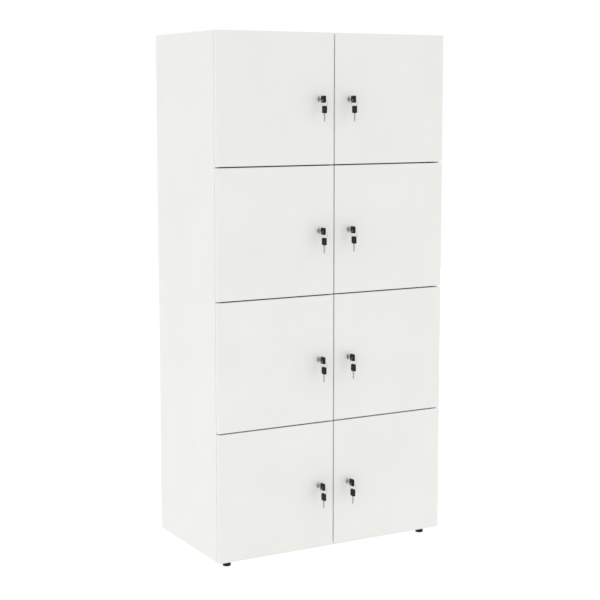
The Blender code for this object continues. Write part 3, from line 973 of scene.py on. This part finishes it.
def foot_socket_mesh():
    """Flanged threaded insert; z = 0 is the underside of the bottom panel."""
    profile = [(0.0043, 0.0150), (0.0059, 0.0150), (0.0062, 0.0147), (0.0062, -0.0003),
               (0.0121, -0.0003), (0.0125, -0.0006), (0.0125, -0.0014), (0.0121, -0.0018),
               (0.0050, -0.0018), (0.0043, -0.0013)]
    bm = bmesh.new()
    turn(bm, profile, ORIGIN, UP, 48, closed=True)
    return mesh_of("foot_socket", bm, ZINC)


def build_feet():
    pad, stem, socket = foot_pad_mesh(), foot_stem_mesh(), foot_socket_mesh()
    for corner in FOOT_CORNERS:
        low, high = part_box(f"levelling_foot_{corner}")
        x, y = (low.x + high.x) / 2, (low.y + high.y) / 2
        foot, node = f"foot_{corner}", f"levelling_foot_{corner}"
        new_piece(f"foot_pad_{corner}", pad, foot, [node], (x, y, 0.0))
        new_piece(f"foot_stem_{corner}", stem, foot, [node], (x, y, 0.0))
        new_piece(f"foot_insert_{corner}", socket, "cabinet",
                  [f"foot_socket_{corner}"], (x, y, BASE_Z))


# ---- floor, light and camera -----------------------------------------------------------

FLOOR_SIZE = 12.0
CAMERA_AT = (-2.2313, -3.9691, 1.4193)
CAMERA_DOWN, CAMERA_TURN = 6.913, -29.224       # degrees below level, and from +Y
CAMERA_LENS, CAMERA_SHIFT = 85.58, -0.045
FLOOR_GLOW = 0.85           # the floor is a lit white table, so shadows on it stay faint
STUDIO_LIGHT = 1.0          # brightness of the white studio all round


def build_floor():
    """Lit white floor, which isn't part of the object."""
    bm = bmesh.new()
    bmesh.ops.create_grid(bm, x_segments=8, y_segments=8, size=FLOOR_SIZE / 2)
    finish = Finish("studio_floor", (0.2, 0.2, 0.2), 0.8)
    finish.color_from(finish.noise(0.8), (0.19, 0.19, 0.19), (0.21, 0.21, 0.21))
    finish.shader.inputs["Emission Color"].default_value = (1.0, 1.0, 1.0, 1.0)
    finish.shader.inputs["Emission Strength"].default_value = FLOOR_GLOW
    mesh = bpy.data.meshes.new("studio_floor")
    bm.to_mesh(mesh)
    bm.free()
    mesh.materials.append(finish.material)
    floor = bpy.data.objects.new("studio_floor", mesh)
    bpy.context.scene.collection.objects.link(floor)


def build_world():
    """Plain white studio, shown with the standard view transform so that white stays white."""
    world = bpy.data.worlds.new("studio")
    world.use_nodes = True
    soft = world.node_tree.nodes["Background"]
    soft.inputs["Color"].default_value = (1.0, 1.0, 1.0, 1.0)
    soft.inputs["Strength"].default_value = STUDIO_LIGHT
    bpy.context.scene.world = world
    bpy.context.scene.view_settings.view_transform = "Standard"


def add_sun(name, strength, softness, tilt, azimuth):
    """Soft light from a direction; tilt is from straight overhead, azimuth from the front."""
    data = bpy.data.lights.new(name, "SUN")
    data.energy = strength
    data.angle = math.radians(softness)
    obj = bpy.data.objects.new(name, data)
    obj.rotation_euler = (math.radians(tilt), 0.0, math.radians(azimuth))
    bpy.context.scene.collection.objects.link(obj)


def build_camera():
    data = bpy.data.cameras.new("camera")
    data.lens = CAMERA_LENS
    data.shift_y = CAMERA_SHIFT
    camera = bpy.data.objects.new("camera", data)
    camera.location = CAMERA_AT
    camera.rotation_euler = (math.radians(90 - CAMERA_DOWN), 0.0, math.radians(CAMERA_TURN))
    bpy.context.scene.collection.objects.link(camera)
    bpy.context.scene.camera = camera


build_cabinet()
for side, sign, row in TAGS:
    build_door(side, sign, row)
    build_bumpers(side, sign, row)
build_locks()
build_hinges()
build_feet()
build_floor()
build_world()
add_sun("overhead_light", strength=0.3, softness=50.0, tilt=0.0, azimuth=0.0)
add_sun("left_light", strength=0.15, softness=60.0, tilt=60.0, azimuth=-75.0)
build_camera()
